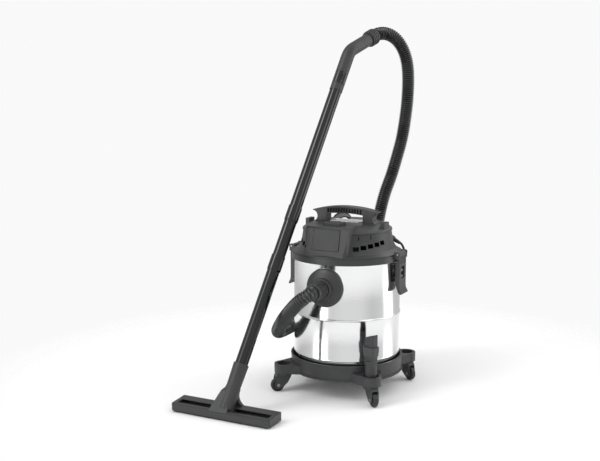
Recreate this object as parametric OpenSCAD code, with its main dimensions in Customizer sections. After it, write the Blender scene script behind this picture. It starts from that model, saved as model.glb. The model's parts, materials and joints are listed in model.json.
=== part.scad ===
// Wet and dry shop vacuum: steel drum on a caster base, motor head, hose, wand and floor nozzle.
// Origin on the floor under the drum's axis, +Z up, the inlet faces -Y.

/* [Base] */
// Outer radius of the tray ring
tray_r = 161; // [160:1:163]
// Height of the tray ring's upper edge above the floor
tray_top = 100.5; // [98:0.5:104]
// Distance from the drum's axis to each caster socket
boss_pitch = 191; // [190:1:196]
// Outer radius of a socket boss
boss_r = 28; // [27:1:30]
// Radius of a tool socket
socket_r = 20.5; // [19.5:0.5:21.5]

/* [Casters] */
// Radius of a caster wheel
wheel_r = 20; // [18:0.5:20]
// Width of a caster wheel
wheel_w = 14; // [12:1:15]
// Distance from a caster's swivel axis to its axle
trail = 20; // [18:1:22]

/* [Drum] */
// Outer radius of the steel drum
drum_r = 152.5; // [151:0.5:153]
// Thickness of the drum's sheet
sheet = 1; // [0.8:0.1:1.5]
// Height of the rolled bead around the drum
bead_z = 227; // [200:1:250]
// Height of the inlet's axis
inlet_z = 317; // [305:1:322]
// Radius of the domed inlet flange
inlet_r = 54; // [50:1:56]

/* [Head] */
// Radius of the head's rim flange
rim_r = 160; // [160:0.5:161]
// Height of the rim flange's lower edge
rim_z = 382; // [381:0.5:383]
// Height of the head's flat top
plateau_z = 484; // [482:1:486]
// Half of the carry handle's length
handle_half = 100; // [98:1:102]
// Front to back thickness of the carry handle
handle_t = 34; // [28:1:38]
/* [Motor] */
// Radius of the fan's impeller
impeller_r = 58; // [50:1:60]
// Radius of the motor shaft
shaft_r = 4; // [3.5:0.5:4.5]

/* [Hose] */
// Outer radius of the ribbed hose
hose_r = 20; // [18:0.5:20.5]

/* [Wand] */
// Outer radius of the wand's tubes
tube_r = 17.5; // [16:0.5:18]
// Wall of the wand's tubes
tube_wall = 1.5; // [1.2:0.1:2]
// How far the parked wand leans from upright
wand_lean = 28.2; // [28:0.1:28.5]
// Which way the parked wand leans, from +X towards +Y
wand_heading = 75; // [74.5:0.1:75.5]
// How far the handle bends over
handle_bend = 39.5; // [35:0.5:42]

/* [Nozzle] */
// Width of the floor nozzle
nozzle_w = 302; // [280:1:320]
// Depth of the floor nozzle
nozzle_d = 70; // [66:1:74]

/* [Power cord] */
// Radius of the power cord
cord_r = 3.5; // [3:0.1:3.8]
// Radius of the coil at the middle of its turns
coil_mid_r = 42; // [38:1:46]
// Width of the coil's winding
coil_wind = 28; // [24:1:30]
// Height of the coil's winding
coil_tall = 42.5; // [35:0.5:50]

/* [Hidden] */
$fn = 96;
fit = 0.05;        // radial clearance of a running fit
slack = 0.3;       // gap between parts of different bodies
past = 1;          // how far a cutter runs past a face

// Colours
charcoal = "#3d3e40";
soft_black = "#1d1d1f";
steel = "#c9ccd0";
dark_steel = "#55585c";

// Base levels
tray_z = 56;
floor_t = 4;
tray_wall = 4.5;
boss_top = 82;
socket_floor = 66;
stem_r = 4;
boss_angles = [-45, 45, 135, -135];
trail_angles = [-45, -30, 150, -135];

// Caster fork, and the axle in it
axle_r = 3;
fork_in = wheel_w / 2 + 1;
fork_out = fork_in + 3;

// Drum levels
drum_z = tray_z + floor_t;
bottom_z = 112;
rim_roll_z = 388;
rim_roll = 2.2;
screw_z = 106;
screw_angles = [-126, -54, 54, 126];
drum_in = drum_r - sheet;

// Head levels
plate_z = 394;
cover_z = 399;
well_r = 78;
well_z = 350;
shell = 3;
boss_half = 64;
badge_lean = 13;
handle_y = -5;
groove_r = 16;
groove_z = 498;
port_z = 460;
port_r = 30;
port_bore = 20.5;
port_end = 150;
port_turn = 30;
gland_angle = 30;
gland_pitch = 128;
gland_z = 435;
gland_dip = 32;
latch_pivot = [166, 404];
latch_half = 25;
window_z = [334, 368];

// Motor levels
fan_z = 356;
fan_h = 28;
fan_case_r = 68;

// Wand places, measured along the wand from its foot
wand_foot = [-157, -380, 78];
neck_top = 64;
lower_end = 373;
middle_end = 519;
upper_end = 880;
bend_start = 991.4;
bend_r = 50;
tail_len = 76.4;
handle_socket = 30;
collar_len = 30;
slider_side = -130;
slider_from = upper_end + 22;

// Nozzle place
nozzle_mid = [-171, -398];
nozzle_base = 5;
nozzle_front_h = 17;
nozzle_back_h = 23;
nozzle_roof = 8;

// Tool place
tool_angle = -45;
tool_z = socket_floor + slack;
tool_r = 16.4;
tool_flat = [33, 24];
tool_inset = 3.4;

// Where the hose meets the handle's cuff
wand_flat = [cos(wand_heading), sin(wand_heading), 0];
wand_dir = sin(wand_lean) * wand_flat + [0, 0, cos(wand_lean)];
tail_dir = sin(wand_lean + handle_bend) * wand_flat + [0, 0, cos(wand_lean + handle_bend)];
bend_side = bend_r * tan(handle_bend / 2);
hose_top = wand_foot + (bend_start + bend_side) * wand_dir + (bend_side + tail_len + collar_len) * tail_dir;

// Hose route: hand chosen points along the centreline
cuff_end = [0, -228, inlet_z];
hose_route = [
    cuff_end, [-2, -242, 315], [-14, -252, 306], [-36, -248, 288], [-64, -232, 262],
    [-96, -206, 232], [-128, -172, 200], [-156, -132, 174], [-178, -84, 157],
    [-191, -30, 148], [-191, 26, 148], [-180, 80, 155], [-156, 130, 170],
    [-122, 168, 194], [-86, 193, 226], [-54, 208, 266], [-30, 216, 316],
    [-12, 221, 370], [0, 223, 430], [11, 224, 490], [24, 228, 545], [42, 233, 600],
    [56, 240, 655], [67, 250, 710], [73, 259, 765], [77, 266, 825], [77, 271, 885],
    [73, 273, 930], [64, 271, 966], [51, 263, 995], [35, 249, 1015], [18, 231, 1024],
    [5, 212, 1023], hose_top + 8 * tail_dir, hose_top
];

// Power cord route: hand chosen points from the gland to the coil, then from the coil to the plug
coil_at = [0, 228];
gland_out = [cos(gland_angle) * cos(gland_dip), sin(gland_angle) * cos(gland_dip), -sin(gland_dip)];
gland_tip = [cos(gland_angle) * gland_pitch, sin(gland_angle) * gland_pitch, gland_z] + 29 * gland_out;
cord_route = [
    gland_tip, gland_tip + 5 * gland_out, [140, 82, 408], [142, 85, 398], [141, 88, 385],
    [136, 91, 367], [129, 98, 344], [120, 107, 317], [109, 118, 285], [97, 131, 250],
    [84, 145, 212], [74, 158, 170], [67, 170, 125], [62, 178, 92], [58, 187, 68],
    [51, 200, 53], [43, 215, 47], [34, 231, 46]
];
plug_at = [-98, 262, 18];
plug_route = [
    [-22, 276, 18], [-35, 271, 18], [-48, 266, 18], [-61, 263, 18], [-74, 262, 18]
];

// --- Helpers -------------------------------------------------------------------------------

// A ring between two radii
module ring(outer, inner, h) {
    difference() {
        cylinder(r = outer, h = h);
        translate([0, 0, -past]) cylinder(r = inner, h = h + 2 * past);
    }
}

// A flat rectangle with round corners, centred
module round_rect(size, r) {
    square([size[0] - 2 * r, size[1]], center = true);
    square([size[0], size[1] - 2 * r], center = true);
    for (x = [-1, 1], y = [-1, 1])
        translate([x * (size[0] / 2 - r), y * (size[1] / 2 - r)]) circle(r);
}

// An outline in X and Z, given a thickness along Y and centred on the plane y = 0
module slab_y(t) {
    translate([0, t / 2, 0]) rotate([90, 0, 0]) linear_extrude(t) children();
}

// Children stand on the wand's axis at a distance along it
module on_wand(s) {
    translate(wand_foot) rotate([0, wand_lean, wand_heading]) translate([0, 0, s]) children();
}

// Unit vector of b - a
function dir(a, b) = (b - a) / norm(b - a);

// Tangent of a route at one of its points
function tangent(p, i) =
    i == 0 ? dir(p[0], p[1])
    : i == len(p) - 1 ? dir(p[i - 1], p[i])
    : dir(p[i - 1], p[i + 1]);

// Sideways vectors carried along a route without twist
function carry(p, i, v) =
    let (t = tangent(p, i), w = v - (v * t) * t)
    i == len(p) - 1 ? [w / norm(w)] : concat([w / norm(w)], carry(p, i + 1, w / norm(w)));

// A round tube along a route, as one closed polyhedron
module swept(p, r, sides) {
    side = carry(p, 0, abs(tangent(p, 0)[2]) > 0.9 ? [1, 0, 0] : [0, 0, 1]);
    rings = [for (i = [0:len(p) - 1], k = [0:sides - 1])
        let (t = tangent(p, i), u = side[i], v = cross(t, u), a = 360 * k / sides)
        p[i] + r * (cos(a) * u + sin(a) * v)];
    walls = [for (i = [0:len(p) - 2], k = [0:sides - 1])
        let (a = i * sides + k, b = i * sides + (k + 1) % sides)
        each [[a, a + sides, b], [b, a + sides, b + sides]]];
    last = (len(p) - 1) * sides;
    start_cap = [for (k = [0:sides - 1]) k];
    end_cap = [for (k = [sides - 1:-1:0]) last + k];
    polyhedron(points = rings, faces = concat([start_cap], [end_cap], walls));
}

// --- Base ----------------------------------------------------------------------------------

// One arm of the tray with its tool socket and caster bore
module boss_arm() {
    flare = 44;
    translate([0, 0, tray_z]) linear_extrude(boss_top - tray_z) {
        polygon([[tray_r - 6, -flare], [boss_pitch, -boss_r], [boss_pitch, boss_r], [tray_r - 6, flare]]);
        translate([boss_pitch, 0]) circle(boss_r);
    }
}

module base_tray() {
    lip = 2.5;
    tab = [9, 18, 48];
    color(charcoal) difference() {
        union() {
            translate([0, 0, tray_z]) cylinder(r = tray_r, h = tray_top - tray_z);
            translate([0, 0, tray_z]) cylinder(r = tray_r + lip, h = 5);
            translate([0, 0, tray_top - 3]) cylinder(r = tray_r + 1, h = 3);
            for (a = boss_angles) rotate(a) boss_arm();
        }
        // Room for the drum, leaving the upright tabs that its screws enter
        difference() {
            translate([0, 0, drum_z]) cylinder(r = tray_r - tray_wall, h = tray_top);
            for (a = screw_angles) rotate(a)
                translate([drum_in - 0.5 - tab[0], -tab[1] / 2, drum_z - past]) cube(tab + [0, 0, past]);
        }
        for (a = screw_angles) rotate(a) translate([drum_in - tab[0] - past, 0, screw_z]) rotate([0, 90, 0])
            cylinder(r = 2, h = tab[0] + 2 * past, $fn = 32);
        for (a = boss_angles) rotate(a) translate([boss_pitch, 0, 0]) {
            translate([0, 0, socket_floor]) cylinder(r = socket_r, h = boss_top);
            translate([0, 0, tray_z - past]) cylinder(r = stem_r + fit, h = socket_floor - tray_z, $fn = 48);
        }
    }
}

// --- Casters -------------------------------------------------------------------------------

module at_caster(i) {
    rotate(boss_angles[i - 1]) translate([boss_pitch, 0, 0])
        rotate(trail_angles[i - 1] - boss_angles[i - 1]) children();
}

// Side outline of a fork, from its swivel hood to its axle
module fork_outline() {
    polygon([[-19, 55], [-19, 46], [-8, 26], [8, 12], [24, 11], [31, 20], [27, 46], [21, 55]]);
    translate([trail, wheel_r]) circle(10);
}

module caster_fork(i) {
    hood_top = tray_z - slack;
    color(charcoal) at_caster(i) difference() {
        union() {
            difference() {
                intersection() {
                    slab_y(2 * fork_out) fork_outline();
                    translate([0, 0, -past]) cylinder(r = trail + 15, h = 60);
                }
                // Slot for the wheel
                translate([-4, -fork_in, -past]) cube([60, 2 * fork_in, 44 + past]);
            }
            translate([0, 0, 47]) cylinder(r = 21, h = hood_top - 47);
            translate([0, 0, 50]) cylinder(r = stem_r, h = 14, $fn = 48);
        }
        translate([trail, 30, wheel_r]) rotate([90, 0, 0]) cylinder(r = axle_r + fit, h = 60, $fn = 48);
    }
}

module caster_axle(i) {
    head_t = 1.5;
    color(steel) at_caster(i) translate([trail, 0, wheel_r]) rotate([90, 0, 0]) {
        cylinder(r = axle_r, h = 2 * (fork_out + fit), center = true, $fn = 48);
        for (s = [-1, 1]) translate([0, 0, s * (fork_out + fit + head_t / 2)])
            cylinder(r = 4.5, h = head_t, center = true, $fn = 48);
    }
}

module caster_wheel(i) {
    half = wheel_w / 2;
    color(soft_black) at_caster(i) translate([trail, 0, wheel_r]) rotate([90, 0, 0])
        rotate_extrude() polygon([
            [axle_r + fit, -half], [9, -half], [10.5, -half + 2], [14.5, -half + 2], [15.5, -half],
            [wheel_r - 3, -half], [wheel_r - 0.8, -half + 2], [wheel_r, -half + 4],
            [wheel_r, half - 4], [wheel_r - 0.8, half - 2], [wheel_r - 3, half],
            [15.5, half], [14.5, half - 2], [10.5, half - 2], [9, half], [axle_r + fit, half]
        ]);
}

// --- Drum and inlet ------------------------------------------------------------------------

// Keepers for the latches, pressed out of the drum's side
module keeper(s) {
    slab = [4, 16, 5];
    translate([s * (drum_r + 1) - slab[0] / 2, -slab[1] / 2, 330]) cube(slab);
}

module drum() {
    bead = 2.4;
    hem = 1.4;
    color(steel) difference() {
        union() {
            translate([0, 0, drum_z]) cylinder(r = drum_r, h = rim_roll_z - drum_z);
            rotate_extrude() translate([drum_r - 0.4, bead_z]) circle(bead, $fn = 32);
            rotate_extrude() translate([drum_r - 0.2, bottom_z]) circle(hem, $fn = 32);
            rotate_extrude() translate([drum_r + 1.7, rim_roll_z]) circle(rim_roll, $fn = 32);
            for (s = [-1, 1]) keeper(s);
        }
        translate([0, 0, bottom_z + sheet]) cylinder(r = drum_in, h = 400);
        translate([0, 0, drum_z - past]) cylinder(r = drum_in, h = bottom_z - drum_z + past);
        translate([0, 0, inlet_z]) rotate([90, 0, 0]) cylinder(r = 27.5, h = 200);
        for (a = screw_angles) rotate(a) translate([drum_r - 20, 0, screw_z]) rotate([0, 90, 0])
            cylinder(r = 2, h = 40, $fn = 32);
    }
}

module drum_screws() {
    color(soft_black) for (a = screw_angles) rotate(a) translate([drum_r - 9, 0, screw_z]) rotate([0, 90, 0]) {
        cylinder(r = 1.9, h = 9.6, $fn = 32);
        translate([0, 0, 9.5]) cylinder(r1 = 4, r2 = 3, h = 2, $fn = 32);
    }
}

// Children are drawn along the inlet's axis, which points out of the drum
module on_inlet() {
    translate([0, 0, inlet_z]) rotate([90, 0, 0]) children();
}

module inlet_flange() {
    color(charcoal) difference() {
        on_inlet() union() {
            // Domed saddle
            rotate_extrude() polygon([
                [0, drum_r - 14], [inlet_r, drum_r - 14], [inlet_r, drum_r + 1], [inlet_r - 2, drum_r + 4],
                [inlet_r - 9, drum_r + 8], [inlet_r - 17, drum_r + 11], [31, drum_r + 13],
                [30, drum_r + 24], [28, drum_r + 26], [0, drum_r + 26]
            ]);
            translate([0, 0, drum_r - 26]) cylinder(r = 27, h = 30);
        }
        // The saddle follows the drum, and only the port passes through the wall
        difference() {
            translate([0, 0, 200]) cylinder(r = drum_r + 0.05, h = 200);
            on_inlet() cylinder(r = 27, h = 300);
        }
        on_inlet() cylinder(r = 21.2, h = 300);
    }
}

module inlet_seal() {
    color(soft_black) on_inlet() intersection() {
        ring(40, 27.1, 300);
        rotate([-90, 0, 0]) translate([0, 0, -60]) ring(drum_in - 0.05, drum_in - 3, 120);
    }
}

module inlet_nut() {
    color(charcoal) on_inlet() difference() {
        translate([0, 0, drum_r - 17]) cylinder(r = 38, h = 6, $fn = 8);
        translate([0, 0, 0]) cylinder(r = 27.1, h = 300);
    }
}

// Elbow behind the inlet that turns the air down into the drum
module inlet_deflector() {
    mid = drum_r - 48;
    color(charcoal) on_inlet() difference() {
        union() {
            translate([0, 0, mid]) cylinder(r = 25, h = 30);
            translate([0, 0, mid]) sphere(r = 25);
            translate([0, 0, mid]) rotate([90, 0, 0]) cylinder(r = 25, h = 32);
        }
        translate([0, 0, drum_r - 26.2]) cylinder(r = 60, h = 60);
        translate([0, 0, mid]) sphere(r = 22);
        translate([0, 0, mid]) cylinder(r = 22, h = 40);
        translate([0, 0, mid]) rotate([90, 0, 0]) cylinder(r = 22, h = 60);
    }
}

// --- Head ----------------------------------------------------------------------------------

module head_base() {
    ear = [20, 5, 20];
    color(charcoal) difference() {
        union() {
            translate([0, 0, rim_z]) cylinder(r = rim_r, h = cover_z - rim_z);
            translate([0, 0, well_z]) cylinder(r = well_r, h = 40);
            // Ears that carry the latch pins, clear of the cover's foot
            difference() {
                for (s = [-1, 1], t = [-1, 1])
                    translate([s * (latch_pivot[0] - 4), t * (latch_half + 0.4 + ear[1] / 2), 390 + ear[2] / 2])
                        cube(ear, center = true);
                translate([0, 0, cover_z]) cylinder(r = 158.6, h = 40);
            }
            for (s = [-1, 1], t = [-1, 1])
                translate([s * latch_pivot[0], t * (latch_half + 0.4 + ear[1] / 2), latch_pivot[1]])
                    rotate([90, 0, 0]) cylinder(r = 7, h = ear[1], center = true);
        }
        // Groove for the drum's rolled rim, and the motor's well
        translate([0, 0, rim_z - past]) difference() {
            cylinder(r = rim_r - shell, h = plate_z - rim_z + past);
            cylinder(r = well_r, h = 60);
        }
        translate([0, 0, well_z + shell]) cylinder(r = well_r - shell, h = 80);
        translate([0, 0, well_z - past]) cylinder(r = 24, h = 10);
        for (s = [-1, 1]) translate([s * latch_pivot[0], 0, latch_pivot[1]]) rotate([90, 0, 0])
            cylinder(r = 2.5 + fit, h = 80, center = true, $fn = 48);
    }
}

module head_seal() {
    color(soft_black) translate([0, 0, rim_roll_z + rim_roll + 0.2])
        ring(rim_r - shell - 0.1, 150.5, plate_z - rim_roll_z - rim_roll - 0.2);
}

// Half outline of the head cover, radius and height, shrunk by the wall for its inside
function cover_outline(t) = [
    [0, cover_z - (t > 0 ? past : 0)], [158 - t, cover_z - (t > 0 ? past : 0)], [157.5 - t, 403 - t / 4],
    [148 - t, 408 - t / 2], [140 - t, 414 - t / 2], [134 - t, 424], [130 - t, 440], [126.5 - t, 462 - t / 2],
    [129 - t, 463.5 - t], [128 - t, 467.5 - t], [120 - t, 474 - t], [108 - t, 480 - t], [98 - t, plateau_z - t],
    [0, plateau_z - t]
];

// The front boss: a block with a leaning face and round upright edges
module front_boss(t) {
    intersection() {
        translate([-80, 0, 0]) rotate([90, 0, 90]) linear_extrude(160) polygon([
            [-150.5 + t, cover_z + (t > 0 ? -past : 4)], [-150 + t, 416], [-136.5 + t, plateau_z - 6 - t],
            [-130, plateau_z - t], [-60, plateau_z - t], [-60, cover_z + (t > 0 ? -past : 4)]
        ]);
        translate([0, -105, 380]) linear_extrude(200) round_rect([2 * boss_half - 2 * t, 96 - 2 * t], 20 - t);
    }
}

module vent_slots() {
    for (s = [-1, 1], k = [0:4]) rotate(-90 + s * (34 + 9.5 * k))
        translate([105, -8.5, 418.5 + 3 * k]) cube([50, 17, 11.5]);
    for (s = [-1, 1], k = [0, 1]) rotate(-90 + s * (38 + 16.5 * k)) translate([124.6, -1.5, 447.5]) cube([10, 3, 13]);
}

// Children are drawn along the blower port's axis, from a distance off the drum's axis
module on_port(from) {
    rotate(port_turn) translate([0, from, port_z]) rotate([-90, 0, 0]) children();
}

// Children are drawn along the axis of the cable's strain relief
module on_gland() {
    rotate(gland_angle) translate([gland_pitch, 0, gland_z]) rotate([0, 90 + gland_dip, 0]) children();
}

module head_cover() {
    color(charcoal) difference() {
        union() {
            rotate_extrude() polygon(cover_outline(0));
            front_boss(0);
            // Rear blower port
            on_port(60) cylinder(r = port_r, h = port_end - 60);
            on_port(port_end - 9) cylinder(r = port_r + 2.5, h = 9);
            // Lower lips of the cable hooks
            for (s = [-1, 1]) translate([s * 117, handle_y, 477]) cube([12, handle_t, 24], center = true);
            // Seat for the cable's strain relief
            on_gland() cylinder(r = 9, h = 12, center = true, $fn = 48);
        }
        rotate_extrude() polygon(cover_outline(shell));
        front_boss(shell);
        vent_slots();
        // Recess for the badge
        translate([0, -143.5, 449]) rotate([-badge_lean, 0, 0]) cube([82, 4, 60], center = true);
        on_port(40) cylinder(r = port_bore, h = 200);
        on_port(40) cylinder(r = port_r - shell, h = port_end - 36 - 40);
        on_gland() translate([0, 0, -20]) cylinder(r = 5, h = 40, $fn = 48);
        on_gland() translate([0, 0, 6]) cylinder(r = 8.3, h = 20, $fn = 48);
        // Opening under the switch, and holes for the handle's screws
        translate([0, -88, plateau_z]) cube([44, 22, 20], center = true);
        for (x = [-74, 74]) translate([x, handle_y, 470]) cylinder(r = 2.6, h = 40, $fn = 32);
    }
}

module front_badge() {
    color(dark_steel) translate([0, -142.9, 449]) rotate([-badge_lean, 0, 0]) rotate([90, 0, 0])
        translate([0, 0, -1.2]) linear_extrude(2.6) round_rect([80, 58], 7);
}

// Side outline of the carry handle, seen from the front
module handle_outline() {
    arch_r = 390;
    bar_t = 19;
    top_z = 529;
    difference() {
        union() {
            intersection() {
                translate([0, top_z - arch_r]) circle(arch_r, $fn = 360);
                translate([-handle_half, 480]) square([2 * handle_half, 60]);
            }
            for (s = [-1, 1]) translate([s * 78, 476]) square([42, 26], center = true);
        }
        // Hand opening
        difference() {
            translate([0, top_z - bar_t - arch_r]) circle(arch_r, $fn = 360);
            for (s = [-1, 1]) translate([s * 150, 480]) square([187, 120], center = true);
            translate([-200, plateau_z - 120]) square([400, 120]);
        }
        translate([-56.5, 400]) square([113, plateau_z - 400]);
        // Hooks for the cable at both ends
        for (s = [-1, 1]) translate([s * 101, groove_z]) circle(groove_r);
    }
}

module carry_handle() {
    color(charcoal) difference() {
        translate([0, handle_y, 0]) slab_y(handle_t) handle_outline();
        // Ribbed pockets along the front of the grip
        for (k = [-6:6])
            translate([k * 8.4 - 3.2, handle_y - handle_t / 2 - past, 512 - abs(k) * 0.4]) cube([6.4, 6, 12]);
        // The feet follow the head cover
        rotate_extrude() polygon(cover_outline(-0.05));
        for (x = [-74, 74]) translate([x, handle_y, 470]) cylinder(r = 2.1, h = 34, $fn = 32);
    }
}

module handle_screws() {
    color(steel) for (x = [-74, 74]) translate([x, handle_y, 0]) {
        translate([0, 0, 478]) cylinder(r = 2, h = 24, $fn = 32);
        translate([0, 0, plateau_z - shell - 3]) cylinder(r = 4.5, h = 2.9, $fn = 32);
    }
}

module switch_body() {
    color(charcoal) translate([0, -88, 0]) difference() {
        translate([0, 0, plateau_z]) linear_extrude(8) round_rect([58, 34], 5);
        translate([0, 0, plateau_z - past]) linear_extrude(12) square([32, 17.4], center = true);
        for (s = [-1, 1]) translate([s * 18, 0, plateau_z + 4]) rotate([0, 90, 0])
            cylinder(r = 1.5 + fit, h = 6, center = true, $fn = 32);
    }
}

module switch_rocker() {
    color(soft_black) translate([0, -88, plateau_z + 4]) {
        translate([-15, 0, 0]) rotate([90, 0, 90]) linear_extrude(30)
            polygon([[-6.8, -3], [6.8, -3], [6.8, 6.5], [0, 4.5], [-6.8, 2.6]]);
        rotate([0, 90, 0]) cylinder(r = 1.5, h = 37, center = true, $fn = 32);
    }
}

// --- Latches -------------------------------------------------------------------------------

module latch() {
    x = latch_pivot[0];
    color(charcoal) difference() {
        union() {
            slab_y(2 * latch_half) {
                translate(latch_pivot) circle(5.8);
                polygon([
                    [x - 4.5, 402], [x - 4.5, 381], [158.5, 378], [158.5, 326], [157.2, 323], [157.2, 320],
                    [159.5, 316], [163, 306], [167, 294], [173, 290], [177.5, 291], [177.5, 294],
                    [172, 304], [171, 314], [171, 400], [x + 5.8, 404]
                ]);
            }
            // Ribs across the top of the lever
            for (k = [-2:2]) translate([170.6, k * 9, 376]) rotate([0, 0, 45]) cube([2, 2, 22]);
        }
        translate([150, -13, window_z[0]]) cube([30, 26, window_z[1] - window_z[0]]);
        translate([x, 0, latch_pivot[1]]) rotate([90, 0, 0]) cylinder(r = 2.5 + fit, h = 60, center = true, $fn = 48);
    }
}

// Waved leaf spring that shows in the latch's window
module latch_spring() {
    t = 0.9;
    steps = 12;
    span = window_z[1] - window_z[0];
    wave = [for (k = [0:steps]) [165 + 3 * sin(720 * k / steps), window_z[0] + span * k / steps]];
    color(steel) slab_y(20) polygon(concat(
        [for (p = wave) p - [t / 2, 0]],
        [for (k = [steps:-1:0]) wave[k] + [t / 2, 0]]
    ));
}

module latch_pin() {
    color(steel) translate([latch_pivot[0], 0, latch_pivot[1]]) rotate([90, 0, 0])
        cylinder(r = 2.5, h = 2 * (latch_half + 6), center = true, $fn = 48);
}

module on_left() { mirror([1, 0, 0]) children(); }

// --- Power cord ----------------------------------------------------------------------------

// Strain relief, a tapered sleeve with rings
module cable_gland() {
    color(soft_black) on_gland() rotate_extrude() polygon([
            [0, -9], [4.9, -9], [4.9, 6], [8, 6], [8, 9], [6.2, 9], [6.2, 12], [5.4, 12], [5.4, 14],
            [5.9, 14], [5.9, 17], [5.1, 17], [5.1, 19], [5.5, 19], [5.5, 22], [4.8, 22], [4.6, 29], [0, 29]
        ]);
}

module power_cord() {
    color(soft_black) {
        swept(cord_route, cord_r, 8);
        swept(plug_route, cord_r, 8);
    }
}

module cord_coil() {
    color(soft_black) translate([coil_at[0], coil_at[1], 0]) rotate_extrude()
        translate([coil_mid_r, coil_tall / 2]) round_rect([coil_wind, coil_tall], 3);
}

// Mains plug with two round pins, lying beside the coil
module mains_plug() {
    color(soft_black) translate(plug_at) rotate([0, -90, 0]) difference() {
        rotate_extrude() polygon([
            [0, -24], [4.8, -24], [5.5, -8], [9, -6], [12, 4], [17.8, 12], [17.8, 34], [16.5, 36], [0, 36]
        ]);
        for (s = [-1, 1]) translate([0, s * 17, 26]) cube([6, 3, 30], center = true);
    }
    color(steel) translate(plug_at) rotate([0, -90, 0]) for (s = [-1, 1])
        translate([s * 9.5, 0, 35]) cylinder(r = 2.4, h = 20, $fn = 32);
}

// --- Motor, float and filter ----------------------------------------------------------------

module motor_mount() {
    color(soft_black) translate([0, 0, well_z + shell]) ring(64, 40, fan_z - well_z - shell);
}

module fan_housing() {
    color(steel) difference() {
        translate([0, 0, fan_z]) cylinder(r = fan_case_r, h = fan_h);
        translate([0, 0, fan_z + 1.5]) cylinder(r = fan_case_r - 1.5, h = fan_h - 3);
        translate([0, 0, fan_z - past]) cylinder(r = 22, h = 4);
        translate([0, 0, fan_z + fan_h - 4]) cylinder(r = 10.05, h = 8, $fn = 48);
        for (k = [0:7]) rotate(45 * k) translate([40, -9, fan_z + 12]) cube([60, 18, 10]);
    }
}

module impeller() {
    color(steel) translate([0, 0, fan_z + 4]) difference() {
        union() {
            translate([0, 0, 14]) cylinder(r = impeller_r, h = 1.5);
            cylinder(r = 9, h = 15);
            for (k = [0:8]) rotate(40 * k) translate([20, -0.75, 0]) rotate(18) cube([35, 1.5, 14.5]);
        }
        translate([0, 0, -past]) cylinder(r = shaft_r, h = 20, $fn = 48);
    }
}

module motor_rotor() {
    color(steel) {
        translate([0, 0, fan_z + 5]) cylinder(r = shaft_r, h = 104, $fn = 48);
        difference() {
            translate([0, 0, 394]) cylinder(r = 26, h = 40);
            for (k = [0:11]) rotate(30 * k) translate([22, -1.2, 390]) cube([10, 2.4, 50]);
        }
    }
    color("#b87333") translate([0, 0, 434]) cylinder(r = 13, h = 12);
}

module motor_stator() {
    top_z = 450;
    color(dark_steel) difference() {
        union() {
            translate([0, 0, fan_z + fan_h]) cylinder(r = 44, h = 52);
            for (k = [0:3]) rotate(45 + 90 * k) translate([36, -4, 430]) cube([7, 8, 24]);
            translate([0, 0, top_z]) cylinder(r = 44, h = 4);
            translate([0, 0, top_z]) cylinder(r = 14, h = 9);
            for (s = [-1, 1]) translate([s * 29, 0, 440]) cube([22, 14, 12], center = true);
        }
        translate([0, 0, 380]) cylinder(r = 28, h = 68);
        translate([0, 0, 380]) cylinder(r = 11 + fit, h = 10.2, $fn = 48);
        translate([0, 0, 451]) cylinder(r = 10.05, h = 9, $fn = 48);
        translate([0, 0, 440]) cylinder(r = 6, h = 30, $fn = 48);
        for (s = [-1, 1]) translate([s * 28, 0, 440]) cube([30, 8.2, 7.2], center = true);
        for (k = [0:3]) rotate(90 * k) translate([16, -10, 449]) cube([24, 20, 8]);
    }
}

module motor_bearings() {
    color(steel) for (z = [380, 451.5]) translate([0, 0, z + 0.1]) ring(10, shaft_r + fit, 7);
}

module carbon_brushes() {
    color(soft_black) for (s = [-1, 1]) translate([s * 24.3, 0, 440]) cube([22, 8, 7], center = true);
}

module float_cage() {
    color(charcoal) difference() {
        union() {
            translate([0, 0, well_z - 4]) cylinder(r = 62, h = 4);
            translate([0, 0, 258]) cylinder(r = 46, h = well_z - 258);
        }
        translate([0, 0, 262]) cylinder(r = 43, h = 200);
        for (k = [0:3]) rotate(45 * k) translate([-60, -11, 270]) cube([120, 22, 62]);
        for (k = [0:5]) rotate(60 * k) translate([26, 0, 250]) cylinder(r = 7, h = 20, $fn = 32);
    }
}

module float_cup() {
    color("#e8e6df") translate([0, 0, 262 + slack]) {
        cylinder(r = 40, h = 40);
        translate([0, 0, 40]) cylinder(r1 = 40, r2 = 30, h = 12);
    }
}

module filter_sleeve() {
    color("#2b2c2e") translate([0, 0, 248]) difference() {
        cylinder(r = 58, h = 92);
        translate([0, 0, 10]) cylinder(r = 46.05, h = 120);
    }
}

module filter_clamp() {
    color(steel) translate([0, 0, 328]) ring(59, 58.05, 9);
}

// --- Hose ----------------------------------------------------------------------------------

module hose() {
    color(soft_black) swept(hose_route, hose_r, 12);
}

module hose_cuff_lower() {
    ribs = 5;
    pitch = 7;
    start = drum_r + 26.1;
    color(charcoal) on_inlet() {
        difference() {
            union() {
                translate([0, 0, drum_r - 20]) cylinder(r = 21, h = 50);
                translate([0, 0, start]) cylinder(r = 23, h = 228 - start);
                for (k = [0:ribs - 1]) translate([0, 0, start + 4 + pitch * k]) cylinder(r = 24.6, h = 4);
            }
            translate([0, 0, drum_r - 30]) cylinder(r = 17.5, h = 228 - drum_r + 28);
        }
    }
}

module hose_cuff_upper() {
    color(charcoal) on_handle_tail() translate([0, 0, tail_len]) difference() {
        union() {
            cylinder(r = 22.5, h = collar_len);
            for (k = [0:2]) translate([0, 0, 5 + 9 * k]) cylinder(r = 24, h = 4);
        }
        translate([0, 0, -past]) cylinder(r = 16, h = collar_len - 4);
    }
}

// --- Wand ----------------------------------------------------------------------------------

// Children are drawn along the handle's tail, past its bend
module on_handle_tail() {
    on_wand(bend_start) translate([bend_r, 0, 0]) rotate([0, handle_bend, 0]) translate([-bend_r, 0, 0]) children();
}

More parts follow.
